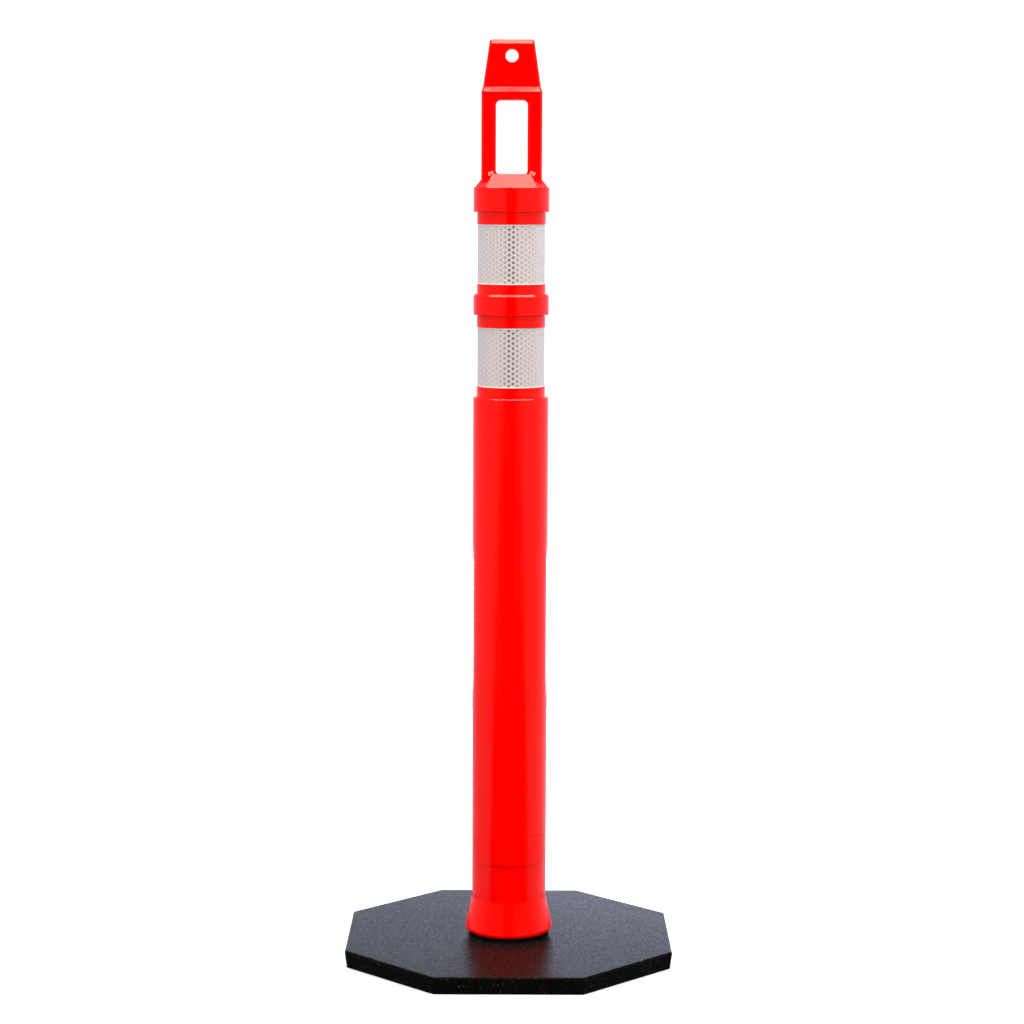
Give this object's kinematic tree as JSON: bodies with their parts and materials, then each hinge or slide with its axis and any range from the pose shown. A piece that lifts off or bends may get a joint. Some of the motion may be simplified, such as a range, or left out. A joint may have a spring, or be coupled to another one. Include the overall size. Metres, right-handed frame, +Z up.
{
  "type": "delineator post",
  "caption": "Round moulded traffic post with a hand-hole handle and rope-hole tab, bands of reflective sheeting in recessed necks, and an octagonal rubber base it locks into by a quarter turn",
  "frame": {"origin": "middle of the rubber base's underside, on the post's axis", "axes": "+Z up along the post, +X to the right and -Y to the front, so the hand hole is seen straight through along Y and a long edge of the base faces the front"},
  "size_m": [0.4058, 0.4058, 1.144],
  "materials": {
    "orange_plastic": "semi-gloss moulded polyethylene",
    "reflective_sheeting": "prismatic retroreflective sheeting",
    "black_rubber": "matte bonded granulate"
  },
  "bodies": {
    "base": {"rubber_base": "black_rubber"},
    "post": {"post_body": "orange_plastic", "upper_reflective_band": "reflective_sheeting", "lower_reflective_band": "reflective_sheeting"}
  },
  "joints": [
    {"name": "post_twist_lock", "type": "hinge", "parent": "base", "child": "post", "pos_m": [0, 0, 0.0254], "axis": [0, 0, 1], "range_deg": [0, 90]}
  ]
}
